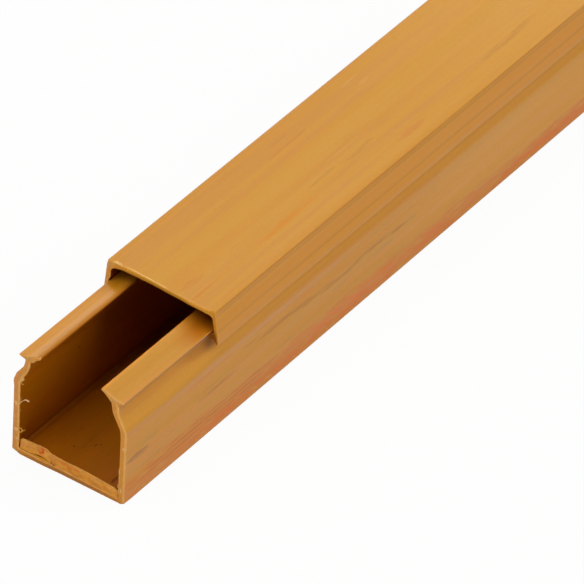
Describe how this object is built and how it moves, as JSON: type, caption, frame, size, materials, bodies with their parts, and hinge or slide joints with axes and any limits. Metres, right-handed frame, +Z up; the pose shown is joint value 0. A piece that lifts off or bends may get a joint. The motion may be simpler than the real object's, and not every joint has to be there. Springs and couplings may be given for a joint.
{
  "type": "cable trunking",
  "caption": "Length of wood-coloured PVC cable trunking: a channel base with barbed rims and a hooked clip-on lid that slides along it, shown slid back from the sawn end.",
  "frame": {"origin": "centre of the base's flat underside, which is fixed to the wall or lies on the floor", "axes": "+Z up out of the mounting face, +Y along the trunking away from the sawn end in the picture, +X across it"},
  "size_m": [0.025, 1.0258, 0.0267],
  "materials": {
    "base": "satin, wood-coloured with streaks along the length",
    "lid": "satin, wood-coloured with streaks along the length"
  },
  "bodies": {
    "base": {"base": "base"},
    "lid": {"lid": "lid"}
  },
  "joints": [
    {"name": "lid_slide", "type": "slide", "parent": "base", "child": "lid", "axis": [0, 1, 0], "range_m": [-0.0258, 0.9242]}
  ]
}
